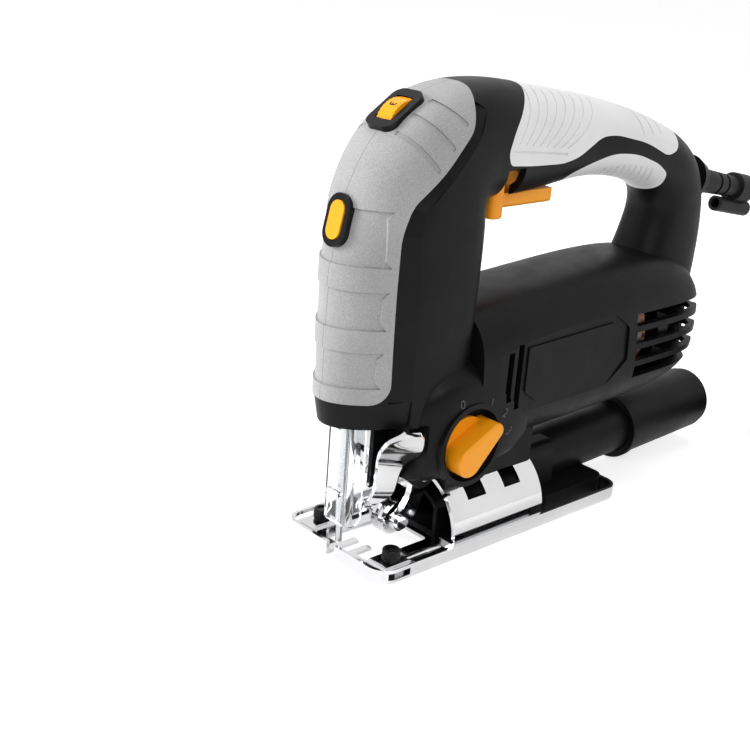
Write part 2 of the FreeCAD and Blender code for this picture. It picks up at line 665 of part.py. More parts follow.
def armature_core():
    """Laminated core with winding slots and the two winding heads."""
    core = rod((-90, 0, MOTOR_Z), X, 16.5, 54)
    slots = []
    for i in range(12):
        slot = box(-91, -35, -1.1, 1.1, MOTOR_Z + 11.5, MOTOR_Z + 20)
        slot.rotate(V(0, 0, MOTOR_Z), X, 30 * i)
        slots.append(slot)
    heads = [rod((-100, 0, MOTOR_Z), X, 13, 10), rod((-36, 0, MOTOR_Z), X, 13, 9)]
    core = core.cut(slots).fuse(heads)
    return core.cut(rod((-140, 0, MOTOR_Z), X, 4, 200))


def commutator():
    body = tube((-118, 0, MOTOR_Z), X, 11, 4, 14)
    slots = []
    for i in range(16):
        slot = box(-119, -105, -0.4, 0.4, MOTOR_Z + 9.8, MOTOR_Z + 12)
        slot.rotate(V(0, 0, MOTOR_Z), X, 22.5 * i)
        slots.append(slot)
    return body.cut(slots)


def cooling_fan():
    hub = rod((-20, 0, MOTOR_Z), X, 8, 12)
    disc = rod((-20, 0, MOTOR_Z), X, 25, 1.6)
    blades = []
    for i in range(12):
        blade = box(-19, -8, -0.7, 0.7, MOTOR_Z + 7, MOTOR_Z + 24.5)
        blade.rotate(V(0, 0, MOTOR_Z), X, 30 * i)
        blades.append(blade)
    return disc.fuse([hub] + blades).cut(rod((-30, 0, MOTOR_Z), X, 4, 40))


def stator():
    body = tube((-92, 0, MOTOR_Z), X, 28, 17.5, 58)
    flats = [box(-100, 0, -40, 40, MOTOR_Z + 25.5, MOTOR_Z + 40), box(-100, 0, -40, 40, 0, MOTOR_Z - 25.5)]
    return body.cut(flats)


def field_coils():
    rings = []
    for x0, x1 in ((-99, -92), (-34, -27)):
        ring = tube((x0, 0, MOTOR_Z), X, 25, 17.8, x1 - x0)
        rings.append(ring)
    return Part.makeCompound(rings)


BRUSH_X = -111.0


def brush_parts():
    holder = box(BRUSH_X - 4, BRUSH_X + 4, 12.5, 27, MOTOR_Z - 4, MOTOR_Z + 4)
    holder = holder.cut(box(BRUSH_X - 3, BRUSH_X + 3, 10, 25.5, MOTOR_Z - 3, MOTOR_Z + 3))
    brush = box(BRUSH_X - 3, BRUSH_X + 3, 11.2, 22, MOTOR_Z - 3, MOTOR_Z + 3)
    return both(holder), both(brush)


def plunger():
    bar = rod((PLUNGER_X, 0, CLAMP_LOW + 2), Z, PLUNGER_R, 160 - CLAMP_LOW - 2)
    middle = GEAR_Z + ECCENTRIC
    yoke = rounded(YOKE_X0, YOKE_X1 + 4, -16, 16, middle - 6, middle + 6, 1.5)
    yoke = yoke.cut(box(YOKE_X0 - 1, YOKE_X1 - 0.9, -12.6, 12.6, middle - 3.1, middle + 3.1))
    return bar.fuse(yoke)


def blade_clamp():
    body = rod((PLUNGER_X, 0, CLAMP_LOW), Z, CLAMP_R, CLAMP_TOP - CLAMP_LOW)
    collar = tube((PLUNGER_X, 0, CLAMP_LOW + 3), Z, CLAMP_R + 1, CLAMP_R - 0.8, 1.6)
    body = body.cut(collar)
    slot = box(PLUNGER_X - 3.2, PLUNGER_X + 3.2, -0.75, 0.75, CLAMP_LOW - 1, CLAMP_LOW + 2)
    return body.cut([slot, rod((PLUNGER_X, 0, CLAMP_LOW + 2), Z, PLUNGER_R, 20)])


# ---- controls -------------------------------------------------------------------------------
def button_parts():
    bezel = stadium(*BUTTON, 6.5, 11, -5, 0.8).cut(stadium(*BUTTON, 4.4, 8.4, -6, 2))
    cap = stadium(*BUTTON, 4, 8, -5.4, 1.4).fuse(stadium(*BUTTON, 5.6, 9.6, -6.4, -5.4))
    return bezel, cap


def dial_parts():
    """Bezel of the speed thumbwheel, the knurled wheel on its pin, and the control it turns."""
    bezel = bezel_plate(BEZEL_W, BEZEL_L, 5, -2.2, 0.8)
    bezel = bezel.cut([bezel_plate(WHEEL_HALF + 0.5, 7.4, 3.6, -3, 3), wheel_space()])
    wheel = rod((WHEEL_X, -WHEEL_HALF, WHEEL_Z), Y, WHEEL_R, 2 * WHEEL_HALF)
    notches = []
    rim = WHEEL_R + 0.25
    for i in range(WHEEL_NOTCHES):
        a = 2 * math.pi * i / WHEEL_NOTCHES
        notches.append(rod((WHEEL_X + rim * math.cos(a), -6, WHEEL_Z + rim * math.sin(a)), Y, 0.5, 12))
    wheel = wheel.cut(notches).cut(both(tube((WHEEL_X, 3, WHEEL_Z), Y, 9, 3.5, 3)))
    wheel = wheel.fuse(rod((WHEEL_X, -9.5, WHEEL_Z), Y, 2.5, 19))
    control = box(WHEEL_X - 10, WHEEL_X + 2.7, 6.4, 11.6, WHEEL_Z - 12, WHEEL_Z)
    control = control.cut(rod((WHEEL_X, 0, WHEEL_Z), Y, 2.5 + FIT, 9.9))
    return bezel, wheel, control


WHEEL_NOTCHES = 40


def trigger():
    """Broad pad at the front of the opening, the bar under the handle, and the stem to the switch."""
    pad = rounded(0.7, 9.3, -12, 12, 148, 165.5, 3.6)
    pad = softened(pad, 1.2, lambda e: e.BoundBox.ZLength < 0.01)
    bar = box(-35, 2, -7, 7, 151, 158)
    bar = softened(bar, 2.5, lambda e: abs(e.tangentAt(e.FirstParameter).x) > 0.9 and e.BoundBox.ZMax < 152)
    stem = box(-24, -14, -4, 4, 156, 166.5)
    return pad.fuse([bar, stem])


def teardrop(big, big_r, small, small_r, y0, y1):
    """Plate across the tool whose outline runs round two circles and straight between them."""
    u = V(small[0] - big[0], 0, small[1] - big[1])
    lean = math.acos((big_r - small_r) / u.Length)
    u.normalize()
    v = Y.cross(u)
    edges = []
    ends = []
    for centre, radius, far in ((big, big_r, -1), (small, small_r, 1)):
        c = V(centre[0], y0, centre[1])
        left = c + (u * math.cos(lean) + v * math.sin(lean)) * radius
        right = c + (u * math.cos(lean) - v * math.sin(lean)) * radius
        edges.append(Part.Arc(left, c + u * (far * radius), right).toShape())
        ends.append((left, right))
    edges.insert(1, Part.makeLine(ends[0][1], ends[1][1]))
    edges.append(Part.makeLine(ends[1][0], ends[0][0]))
    wire = Part.Wire(Part.__sortEdges__(edges))
    return Part.Face(wire).extrude(V(0, y1 - y0, 0))


def selector():
    """Orbital selector: a bar across the recess with a round knob at one end, on a pin."""
    a = math.radians(144)
    tip = (math.cos(a), math.sin(a))
    knob = (DIAL_X - 8 * tip[0], DIAL_Z - 8 * tip[1])
    end = (DIAL_X + 11.4 * tip[0], DIAL_Z + 11.4 * tip[1])
    grip = teardrop(knob, 7, end, 3.6, 25.2, 38)
    grip = softened(grip, 1.4, lambda e: e.BoundBox.YMin > 37.9)
    return grip.fuse([rod((DIAL_X, 25.2, DIAL_Z), Y, 12, 2.0), rod((DIAL_X, 19.9, DIAL_Z), Y, 4, 8)])


# ---- sole -------------------------------------------------------------------------------------
HALF_W = SOLE_W / 2
GUIDE_X0, GUIDE_X1 = 62.5, 74.5           # slots for the rip guide's bar
SCREW_X = 68.5
THUMB_Y = {1: 27.3, -1: -19.3}            # thumb screws, left and right
BRIDGES = [(21, 32.1), (-24.4, -15.4)]    # strips under which the guide's bar runs
RIVETS = [(sx * 22, sy * 23) for sx in (-1, 1) for sy in (-1, 1)]


def sole_plate():
    """Pressed tray with the blade window, guide slots, two bridges and two beads."""
    edge = 1.8
    tray = rounded(SOLE_REAR, SOLE_FRONT, -HALF_W, HALF_W, 0, SOLE_RIM, 9)
    tray = tray.cut(rounded(SOLE_REAR + edge, SOLE_FRONT - edge, edge - HALF_W, HALF_W - edge,
                            SHEET, 20, 7.2))
    window = rounded(33, 70, -14, 14, -1, 4, 2).cut(box(60, 71, -6, 6, -1, 4))
    sight = box(60, SOLE_FRONT + 1, -2.6, 2.6, -1, 20)
    cuts = [window, sight, box(SOLE_REAR - 1, SOLE_REAR + 3, -8.6, 8.6, 4, 20)]
    cuts += [box(GUIDE_X0, GUIDE_X1, y0, y1, SHEET, 4.8) for y0, y1 in ((30, 40), (-40, -30))]
    tray = tray.cut(cuts)
    for (y0, y1), y in zip(BRIDGES, THUMB_Y.values()):
        bridge = box(60, 77, y0, y1, SHEET, 7.6)
        bridge = softened(bridge, 2.4, lambda e: abs(e.tangentAt(e.FirstParameter).y) > 0.9
                          and e.BoundBox.ZMin > 7)
        bridge = bridge.cut([box(GUIDE_X0, GUIDE_X1, y0 - 1, y1 + 1, SHEET, 4.8),
                             rod((SCREW_X, y, 0), Z, 2.5, 10)])
        tray = tray.fuse(bridge)
    above = box(30, 60, -40, 40, SHEET - 0.5, 10)
    beads = [rod((34, y, SHEET - 0.6), X, 2, 22).common(above) for y in (22.5, -22.5)]
    holes = [rod((x, y, -1), Z, 1.6, 6) for x, y in RIVETS]
    return tray.fuse(beads).cut(holes).removeSplitter()


def arch_sector(outer, inner, x0, x1, half_degrees):
    """Part of the arch about the tilt axis, half_degrees each way from straight up."""
    ring = tube((x0, 0, TILT_Z), X, outer, inner, x1 - x0)
    a = math.radians(half_degrees)
    reach = 3 * outer
    wedge = prism_yz([(0, TILT_Z), (reach * math.sin(a), TILT_Z + reach * math.cos(a)),
                      (0, TILT_Z + reach * 2), (-reach * math.sin(a), TILT_Z + reach * math.cos(a))],
                     x0, x1)
    return ring.common(wedge)


def bevel_bracket():
    arch = tube((-ARCH_X, 0, TILT_Z), X, ARCH_R, ARCH_IN, 2 * ARCH_X)
    arch = arch.common(box(-ARCH_X, ARCH_X, -40, 40, TILT_Z, 60))
    solids = [arch]
    for side in (1, -1):
        y0, y1 = sorted((side * ARCH_IN, side * ARCH_R))
        solids.append(box(-ARCH_X, ARCH_X, y0, y1, SHEET, TILT_Z))
        y0, y1 = sorted((side * 19, side * ARCH_R))
        solids.append(box(-ARCH_X, ARCH_X, y0, y1, SHEET, SHEET + 1.8))
    bracket = solids[0].fuse(solids[1:]).removeSplitter()
    cuts = [arch_sector(ARCH_R + 2, ARCH_IN - 2, x0, x1, 56) for x0, x1 in ((6, 18), (-17.5, -6.5))]
    for i in range(-2, 3):
        notch = box(ARCH_X - 3, ARCH_X + 1, -0.8, 0.8, TILT_Z + ARCH_IN - 1, TILT_Z + ARCH_R + 1)
        notch.rotate(V(0, 0, TILT_Z), X, 22.5 * i)
        cuts.append(notch)
    cuts += [rod((x, y, 0), Z, 1.6, 6) for x, y in RIVETS]
    return bracket.cut(cuts)


def sole_rivets():
    group = []
    for x, y in RIVETS:
        dome = Part.makeSphere(3.4, V(x, y, 2.2)).common(rod((x, y, SHEET + 1.8), Z, 3.0, 4))
        group.append(rod((x, y, 0.3), Z, 1.6, 3.6).fuse(dome).removeSplitter())
    return Part.makeCompound(group)


def base_saddle():
    saddle = box(-29, 29, -18, 18, 20, 46)
    saddle = saddle.cut(rod((-40, 0, TILT_Z), X, ARCH_R + 0.35, 80))
    return saddle.cut(rod((CLAMP_X, 0, 10), Z, 3, 34))


CLAMP_X = -12.0


def clamp_washer():
    washer = arch_sector(ARCH_IN - 0.35, 23.8, CLAMP_X - 10.5, CLAMP_X + 10.5, 15)
    return washer.cut(rod((CLAMP_X, 0, 10), Z, 3 + FIT, 34))


def clamp_screw():
    top = TILT_Z + 23.8 * math.cos(math.asin(5.2 / 23.8))
    head = rod((CLAMP_X, 0, top - 5), Z, 5.2, 5).cut(prism_xy(
        [(CLAMP_X + 2.9 * math.cos(math.radians(60 * i)), 2.9 * math.sin(math.radians(60 * i)))
         for i in range(6)], top - 6, top - 2.4))
    return head.fuse(rod((CLAMP_X, 0, top - 1), Z, 3, 44 - top + 1)).removeSplitter()


def guide_screw(side):
    """Thumb screw with a knurled cap."""
    y = THUMB_Y[side]
    stem = rod((SCREW_X, y, 2.0), Z, 2.5 - FIT, 7).fuse(rod((SCREW_X, y, 7.7), Z, 3.2, 1.2))
    cap = softened(rod((SCREW_X, y, 8.6), Z, 4.0, 4.6), 0.7, lambda e: e.BoundBox.ZMin > 13)
    ribs = []
    for i in range(18):
        a = math.radians(20 * i)
        ribs.append(rod((SCREW_X + 4.25 * math.cos(a), y + 4.25 * math.sin(a), 9.2), Z, 0.5, 3.2))
    cap = cap.cut(ribs).cut(rod((SCREW_X, y, 12.6), Z, 2.4, 2))
    return stem.fuse(cap)


# ---- roller, guard and finger rod ---------------------------------------------------------------
def fork_plate(y0, y1):
    edges = [Part.Arc(V(32.2, y0, 33.6), V(34.0, y0, 17), V(44.6, y0, 6.4)).toShape(),
             Part.Arc(V(44.6, y0, 6.4), V(49.6, y0, 10.4), V(46.6, y0, 15.6)).toShape(),
             Part.Arc(V(46.6, y0, 15.6), V(41.6, y0, 21.4), V(40.2, y0, 33.6)).toShape(),
             Part.Arc(V(40.2, y0, 33.6), V(36.2, y0, 37), V(32.2, y0, 33.6)).toShape()]
    return Part.Face(Part.Wire(edges)).extrude(V(0, y1 - y0, 0))


def roller_fork():
    web = box(34.2, 37.6, -5.5, 5.5, 24, 31)
    fork = fork_plate(5.2, 8.2).fuse([fork_plate(-8.2, -5.2), web])
    return fork.cut([rod((FORK_X, -20, FORK_Z), Y, 2.5 + FIT, 40),
                     rod((ROLLER_X, -20, ROLLER_Z), Y, 2, 40)])


def roller_axle():
    pin = rod((ROLLER_X, -9, ROLLER_Z), Y, 2, 18)
    heads = both(rod((ROLLER_X, 8.2, ROLLER_Z), Y, 3.4, 1.3))
    return pin.fuse(heads.Solids).removeSplitter()


def guide_roller():
    half = 3.9
    profile = [(2 + FIT, -half), (ROLLER_R - 0.8, -half), (ROLLER_R, -half + 0.8), (ROLLER_R, -1.2),
               (ROLLER_R - 2, -0.7), (ROLLER_R - 2, 0.7), (ROLLER_R, 1.2), (ROLLER_R, half - 0.8),
               (ROLLER_R - 0.8, half), (2 + FIT, half)]
    wire = Part.makePolygon([V(ROLLER_X + r, y, ROLLER_Z) for r, y in profile + profile[:1]])
    return Part.Face(wire).revolve(V(ROLLER_X, 0, ROLLER_Z), Y, 360)


def fork_pin():
    return rod((FORK_X, -12.4, FORK_Z), Y, 2.5, 24.8)


def clear_guard():
    """Clear U in front of the blade, with a short left wall and a high right wall."""
    outer = rounded(30, GUARD_X, -GUARD_W, GUARD_W, GUARD_LOW, GUARD_TOP, 3)
    inner = rounded(28, GUARD_X - GUARD_T, GUARD_T - GUARD_W, GUARD_W - GUARD_T, 0, 80, 1.6)
    shell = outer.cut(inner)
    keep_right = prism_xz([(52.8, 80), (52.8, 27), (73.2, 27), (73.2, 20), (76, 17), (90, 17),
                           (90, 80)], -20, 0)
    keep_left = prism_xz([(70.5, 80), (70.5, 20), (73.5, 17), (90, 17), (90, 80)], 0, 20)
    shell = shell.common(keep_right.fuse(keep_left))
    tab = box(77, 80.6, -4, 4, 31, 33)
    return shell.fuse(tab).cut(box(74.4, 77.0, -3, 3, 16, GUARD_TOP + 1)).removeSplitter()


def finger_rod():
    return rod((74.9, 0, 7), Z, 1.6, 61)


# ---- dust extraction ------------------------------------------------------------------------------
TUBE_DIR = V(-math.cos(math.radians(TUBE_TILT)), 0, math.sin(math.radians(TUBE_TILT)))


def tube_rod(radius, start, length):
    return Part.makeCylinder(radius, length, V(TUBE_X, 0, TUBE_Z) + TUBE_DIR * start, TUBE_DIR)


def dust_insert():
    """Fixed duct: a low channel under the arch, a foot on the sole and the round tube behind."""
    arch = rod((-34, 0, TILT_Z), X, 17.2, 62).common(box(-40, 40, -14, 14, SHEET, 40))
    hollow = rod((-50, 0, TILT_Z), X, 15.2, 90).common(box(-60, 60, -12, 12, -5, 40))
    foot = rounded(SOLE_REAR + 2.2, -31, -25, 25, SHEET, 9, 6)
    riser = softened(box(-52, -31, -15, 15, SHEET, 31), 5,
                     lambda e: abs(e.tangentAt(e.FirstParameter).x) > 0.9 and e.BoundBox.ZMin > 30)
    body = arch.fuse([foot, riser, tube_rod(14, 8, 112)])
    body = body.cut([hollow.common(box(-36, 40, -20, 20, SHEET + 1.5, 40)), tube_rod(12, 2, 200)])
    return largest(body.common(box(-200, 40, -40, 40, SHEET, 60)))


TUBE_START, TUBE_END = 84.0, 152.5       # ends of the sleeve along the tube's axis


def dust_tube():
    """Sleeve that slides on the duct, with a lip in front and a stepped end for a hose."""
    sleeve = tube_rod(TUBE_R, TUBE_START, TUBE_END - TUBE_START)
    end = tube_rod(TUBE_R - 0.8, TUBE_END - 3.5, 3.5)
    sleeve = sleeve.cut([tube_rod(TUBE_IN, TUBE_START - 4, 90), tube_rod(PORT_R, TUBE_END - PORT_L, 40),
                         tube_rod(TUBE_R + 2, TUBE_END - 3.5, 5).cut(end)])
    return sleeve.fuse(tube_rod(TUBE_R + 0.8, TUBE_START, 3).cut(tube_rod(TUBE_IN, TUBE_START - 4, 90)))


# ---- inside fittings -------------------------------------------------------------------------------
def housing_screws():
    """Screws that pull the two housing halves together, inside their bosses."""
    return Part.makeCompound([rod((x, -12, z), Y, SCREW_R, 24) for x, z in SCREWS])


def strain_relief():
    """Tapered rubber sleeve with two grooves and a flange inside the wall."""
    cone = Part.makeCone(6.6, 5.2, 60, CORD_ROOT, CORD_OUT)
    relief = cone.fuse([cord_axis_rod(6.6, -10, 12), cord_axis_rod(9, -13, 3)])
    rings = [cord_axis_rod(12, start, 2.2).cut(cord_axis_rod(5.1, start - 1, 5)) for start in (21, 29)]
    return relief.cut(rings)


def cord_boss():
    """Domed collar of the housing round the cord's exit."""
    dome = Part.makeCone(12, 9.5, 8, CORD_ROOT - CORD_OUT * 4, CORD_OUT)
    return dome.cut(cord_axis_rod(6.6, -20, 60))


def cord_clamp():
    """Bar that screws down on the cord inside the handle."""
    bar = box(-141, -134, -7, 7, 157.4, 160.6)
    return bar.cut([rod((-137.5, y, 150), Z, 1.5, 20) for y in (-5, 5)])


def hex_key_clip():
    """Rubber holder for the hex key: a collar on the strain relief with a tube below it."""
    below = V(CORD_OUT.z, 0, -CORD_OUT.x) * -10.4
    collar = cord_axis_rod(7.8, 42, 12).cut(cord_axis_rod(5.75, 40, 20))
    holder = Part.makeCylinder(4.2, 30, CORD_ROOT + CORD_OUT * 30 + below, CORD_OUT)
    bore = Part.makeCylinder(2.6, 26, CORD_ROOT + CORD_OUT * 29 + below, CORD_OUT)
    return collar.fuse(holder).cut([bore, cord_axis_rod(6.7, 0, 41), cord_axis_rod(5.75, 40, 30)])


CORD = [V(-246, 0, 133.6), V(-266.5, 5, 115), V(-279, 12, 90), V(-284, 17.5, 63),
        V(-284.5, 18.9, 39), V(-284.5, 25.4, 22.8), V(-284.3, 37.6, 10.4), V(-284, 53, 3.9),
        V(-281.5, 69.5, 3.6)]
COIL = V(-248, 55, 0)                                      # middle of the coiled cord
COIL_R, COIL_HIGH = 32.4, 4 * CORD_D                       # middle of its two columns, and height
PLUG_AT = COIL + V(18, 24.8, COIL_HIGH)                    # the plug lies flat on the coil
PLUG_HALF, PLUG_HIGH = 15, 20
PIN_Y = 9.5                                                # each pin's distance from the middle


def cord_route():
    return [CORD_ROOT + CORD_OUT * 60] + CORD


def cord_coil():
    outer, inner = COIL_R + CORD_D, COIL_R - CORD_D
    top, bevel = COIL_HIGH, 2
    profile = [(inner, bevel), (inner + bevel, 0), (outer - bevel, 0), (outer, bevel),
               (outer, top - bevel), (outer - bevel, top), (inner + bevel, top), (inner, top - bevel)]
    wire = Part.makePolygon([COIL + V(r, 0, z) for r, z in profile + profile[:1]])
    return Part.Face(wire).revolve(COIL, Z, 360)


def power_plug():
    """Moulded two-pin plug, with its boot towards -X and its pins towards +X."""
    body = softened(rounded(-6, 30, -PLUG_HALF, PLUG_HALF, 0, PLUG_HIGH, 8), 4,
                    lambda e: e.BoundBox.ZLength < 0.1 and e.BoundBox.ZMax > PLUG_HIGH - 1)
    middle = PLUG_HIGH / 2
    boot = Part.makeCone(4.8, 7, 18, V(-22, 0, middle), X)
    pins = [rod((29, y, middle), X, 2.4, 19) for y in (-PIN_Y, PIN_Y)]
    plug = body.fuse([boot] + pins)
    plug.translate(PLUG_AT)
    return plug


def smooth_wire(points):
    """Straight runs joined by tangent arcs, each as large as its two runs allow."""
    edges, last = [], points[0]
    for before, corner, after in zip(points, points[1:], points[2:]):
        a, b = corner - before, after - corner
        turn = a.getAngle(b)
        shorter = min(a.Length, b.Length)
        radius = 0.45 * shorter / math.tan(turn / 2)
        print("cord radius", round(radius, 1), "turn", round(math.degrees(turn), 1),
              "run", round(a.Length, 1))
        a.normalize()
        b.normalize()
        start, end = corner - a * (0.45 * shorter), corner + b * (0.45 * shorter)
        inward = b - a
        inward.normalize()
        middle = corner + inward * (radius / math.cos(turn / 2) - radius)
        edges += [Part.makeLine(last, start), Part.Arc(start, middle, end).toShape()]
        last = end
    edges.append(Part.makeLine(last, points[-1]))
    return Part.Wire(edges)


def cord_run():
    points = cord_route()
    path = smooth_wire(points)
    first = points[1] - points[0]
    ring = Part.Wire(Part.makeCircle(CORD_D / 2, points[0], first))
    solid = path.makePipeShell([ring], True, True)
    print("cord volume", round(solid.Volume), "section x length",
          round(math.pi * CORD_D ** 2 / 4 * path.Length), "length", round(path.Length))
    return solid


def largest(shape):
    return max(shape.Solids, key=lambda solid: solid.Volume)


def build_all():
    housing_shells()
    save("nose_ring", nose_ring())
    save("lever_pin", lever_pin())
    save("blade_release_lever", release_lever())
    save("gear_case", gear_case())
    save("plunger_bushes", bushes())
    save("front_bearing", ball_bearing(23.2, 28, 11, 4 + FIT))
    save("rear_bearing", ball_bearing(-130, -123, 9.5, 4 + FIT))
    save("drive_gear", drive_gear())
    save("gear_spindle", gear_spindle())
    save("armature_shaft", armature_shaft())
    save("armature_core", armature_core())
    save("commutator", commutator())
    save("cooling_fan", cooling_fan())
    save("stator", stator())
    save("field_coils", field_coils())
    holders, brushes = brush_parts()
    save("brush_holders", holders)
    save("carbon_brushes", brushes)
    save("plunger", plunger())
    save("blade_clamp", blade_clamp())
    bezel, cap = button_parts()
    save("button_bezel", bezel)
    save("light_button", cap)
    bezel, wheel, control = dial_parts()
    save("dial_bezel", bezel)
    save("speed_dial", wheel)
    save("speed_control", control)
    save("trigger", trigger())
    save("switch_body", box(-50, 4, -10, 10, 172, 190))
    save("orbital_selector", selector())
    save("sole_plate", sole_plate())
    save("bevel_bracket", bevel_bracket())
    save("sole_rivets", sole_rivets())
    save("base_saddle", base_saddle())
    save("clamp_washer", clamp_washer())
    save("clamp_screw", clamp_screw())
    save("guide_screw_left", guide_screw(1))
    save("guide_screw_right", guide_screw(-1))
    save("roller_fork", roller_fork())
    save("roller_axle", roller_axle())
    save("guide_roller", guide_roller())
    save("fork_pin", fork_pin())
    save("clear_guard", clear_guard())
    save("finger_rod", finger_rod())
    save("dust_insert", dust_insert())
    save("dust_tube", dust_tube())
    save("strain_relief", strain_relief())
    save("cord_clamp", cord_clamp())
    save("hex_key_clip", hex_key_clip())
    save("cord_run", cord_run())
    save("cord_coil", cord_coil())
    save("power_plug", power_plug())
    save("housing_screws", housing_screws())


def main():
    os.makedirs("parts", exist_ok=True)
    build_all()
    for name, shape in parts.items():
        shape.exportStep("parts/" + name + ".step")


main()
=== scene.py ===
import math

import bpy
from mathutils import Matrix, Vector
from mathutils.bvhtree import BVHTree


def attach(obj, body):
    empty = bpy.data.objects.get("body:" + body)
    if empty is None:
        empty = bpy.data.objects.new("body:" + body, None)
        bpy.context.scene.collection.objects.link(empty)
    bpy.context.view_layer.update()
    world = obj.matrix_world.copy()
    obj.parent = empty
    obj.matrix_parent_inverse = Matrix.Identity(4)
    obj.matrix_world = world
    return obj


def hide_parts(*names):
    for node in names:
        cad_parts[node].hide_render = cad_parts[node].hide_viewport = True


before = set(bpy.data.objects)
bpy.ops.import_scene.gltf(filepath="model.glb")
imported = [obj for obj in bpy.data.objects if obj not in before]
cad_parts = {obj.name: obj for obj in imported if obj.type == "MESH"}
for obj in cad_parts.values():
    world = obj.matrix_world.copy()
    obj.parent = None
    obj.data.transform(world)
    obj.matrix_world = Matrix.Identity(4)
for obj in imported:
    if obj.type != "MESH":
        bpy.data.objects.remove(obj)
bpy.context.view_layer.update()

HOUSING = "housing"

# Camera: place in metres, angles in degrees, lens and sensor in millimetres
CAMERA_PLACE = Vector((0.4110, 0.3717, 0.2708))
CAMERA_HEADING, CAMERA_PITCH, CAMERA_ROLL = 136.66, 20.21, -4.33
CAMERA_LENS, SENSOR = 60.53, 36.0
CAMERA_NEAREST = 0.01

# Moulded plastics and rubbers. The colour runs from low to high in soft clouds; grain is the
# size of the surface's fine pattern and depth its height, in metres; a painted shade darkens its pits.
MOULDED = {
    "body_plastic": dict(low=(0.0034, 0.0034, 0.0037), high=(0.0052, 0.0052, 0.0056),
                         roughness=0.42, grain=0.0006, depth=0.00006, specular=0.15),
    "front_rubber": dict(low=(0.37, 0.37, 0.37), high=(0.43, 0.43, 0.435),
                         roughness=0.62, grain=0.0006, depth=0.00014, specular=0.4,
                         pit_shade=0.16, seam=True),
    "handle_rubber": dict(low=(0.78, 0.78, 0.78), high=(0.84, 0.84, 0.84),
                          roughness=0.45, grain=0.0008, depth=0.00003),
    "orange_plastic": dict(low=(0.98, 0.34, 0.005), high=(1.0, 0.39, 0.007),
                           roughness=0.33, grain=0.0007, depth=0.00003, specular=0.4),
    "black_gloss": dict(low=(0.0035, 0.0035, 0.004), high=(0.006, 0.006, 0.0065),
                        roughness=0.22, grain=0.0008, depth=0.00002, specular=0.2),
    "black_rubber": dict(low=(0.006, 0.006, 0.006), high=(0.010, 0.010, 0.010),
                         roughness=0.55, grain=0.0007, depth=0.00005, specular=0.3),
    "cord_rubber": dict(low=(0.006, 0.006, 0.006), high=(0.009, 0.009, 0.009),
                        roughness=0.42, grain=0.0009, depth=0.00003, specular=0.35),
    "mark_black": dict(low=(0.025, 0.025, 0.025), high=(0.035, 0.035, 0.035),
                       roughness=0.35, grain=0.0008, depth=0.00002),
    "carbon": dict(low=(0.01, 0.01, 0.01), high=(0.03, 0.03, 0.03),
                   roughness=0.7, grain=0.0005, depth=0.00003),
}

# Metals; scratch is the height of the fine streaks, in metres
METALS = {
    "chrome_steel": dict(colour=(0.83, 0.83, 0.84), roughness=0.09, scratch=0.000003),
    "steel": dict(colour=(0.62, 0.62, 0.63), roughness=0.25, scratch=0.00001),
    "gear_metal": dict(colour=(0.14, 0.14, 0.145), roughness=0.45, scratch=0.00001),
    "cast_alloy": dict(colour=(0.55, 0.55, 0.56), roughness=0.45, scratch=0.00003),
    "bronze": dict(colour=(0.62, 0.40, 0.18), roughness=0.35, scratch=0.00001),
    # Copper darkened far below its own colour, as painted shade for the windings seen deep inside the vents
    "copper": dict(colour=(0.30, 0.12, 0.055), roughness=0.35, scratch=0.00001),
}

# Clear moulding of the chip guard; its waves and their height are in metres
CLEAR_COLOUR = (0.93, 0.95, 0.96, 1)
CLEAR_IOR = 1.45
CLEAR_ROUGHNESS = (0.02, 0.12)
CLEAR_WAVES, CLEAR_WAVE_HEIGHT = 0.012, 0.00004

# Clouds in the looks: their sizes in metres, and how far they change a look
TINT_CLOUDS, SHEEN_CLOUDS = 0.03, 0.012
SHEEN_SPREAD = 0.05                      # added to and taken from the roughness
METAL_TINT_CLOUDS, METAL_SHEEN_CLOUDS = 0.02, 0.008
METAL_DULL = 0.93                        # share of the colour
METAL_SHEEN = (0.7, 1.4)                 # shares of the roughness
CLEAR_SHEEN_CLOUDS = 0.01
SPREAD = (0.3, 0.7)                      # the noise values that a change of look runs between
METAL_SPREAD, CLEAR_SPREAD = (0.3, 0.75), (0.3, 0.8)
PITS = (0.62, 0.42)                      # from no painted shade in the pits to full painted shade
STREAKS, STREAK_STRETCH = 0.0006, (0.05, 1, 1)

# Dark line on the front grip where its two mouldings meet
SEAM_HALF = 0.00018                      # metres
SEAM_SHADE = 0.22

# Power cord, in metres
CORD_D = 0.0072
CORD_OUT = Vector((-0.981, 0, -0.194))
CORD_ROOT = Vector((-0.155, 0, 0.1512))
RELIEF_LONG = 0.060
CORD_ROUTE = [(-0.246, 0, 0.1336), (-0.2665, 0.005, 0.115), (-0.279, 0.012, 0.090),
              (-0.284, 0.0175, 0.063), (-0.2845, 0.0189, 0.039), (-0.2845, 0.0254, 0.0228),
              (-0.2843, 0.0376, 0.0104), (-0.284, 0.053, 0.0039), (-0.2815, 0.0695, 0.0036)]
COIL_CENTRE = Vector((-0.248, 0.055, 0))
COIL_OUTER, COIL_INNER = 0.036, 0.0288   # its two columns of turns
COIL_PLACES = 8                          # turns before the way to the plug, two in each layer
PER_TURN = 16                            # control points in a turn

# Moves along the coil, in turns: where each begins and how long it takes
SHIFT_FROM, SHIFT_LONG = 0.46, 0.3       # in each turn, to the next place
LEAN_FROM, LEAN_LONG = 1, 1.5            # aside, clear of the landing cord
CLIMB_FROM, CLIMB_LONG = 7.36, 0.3       # up by one more cord
OVER_FROM, OVER_LONG = 7.56, 0.44        # over the top and into line with the plug
LEAN = 0.0036                            # how far aside, in metres

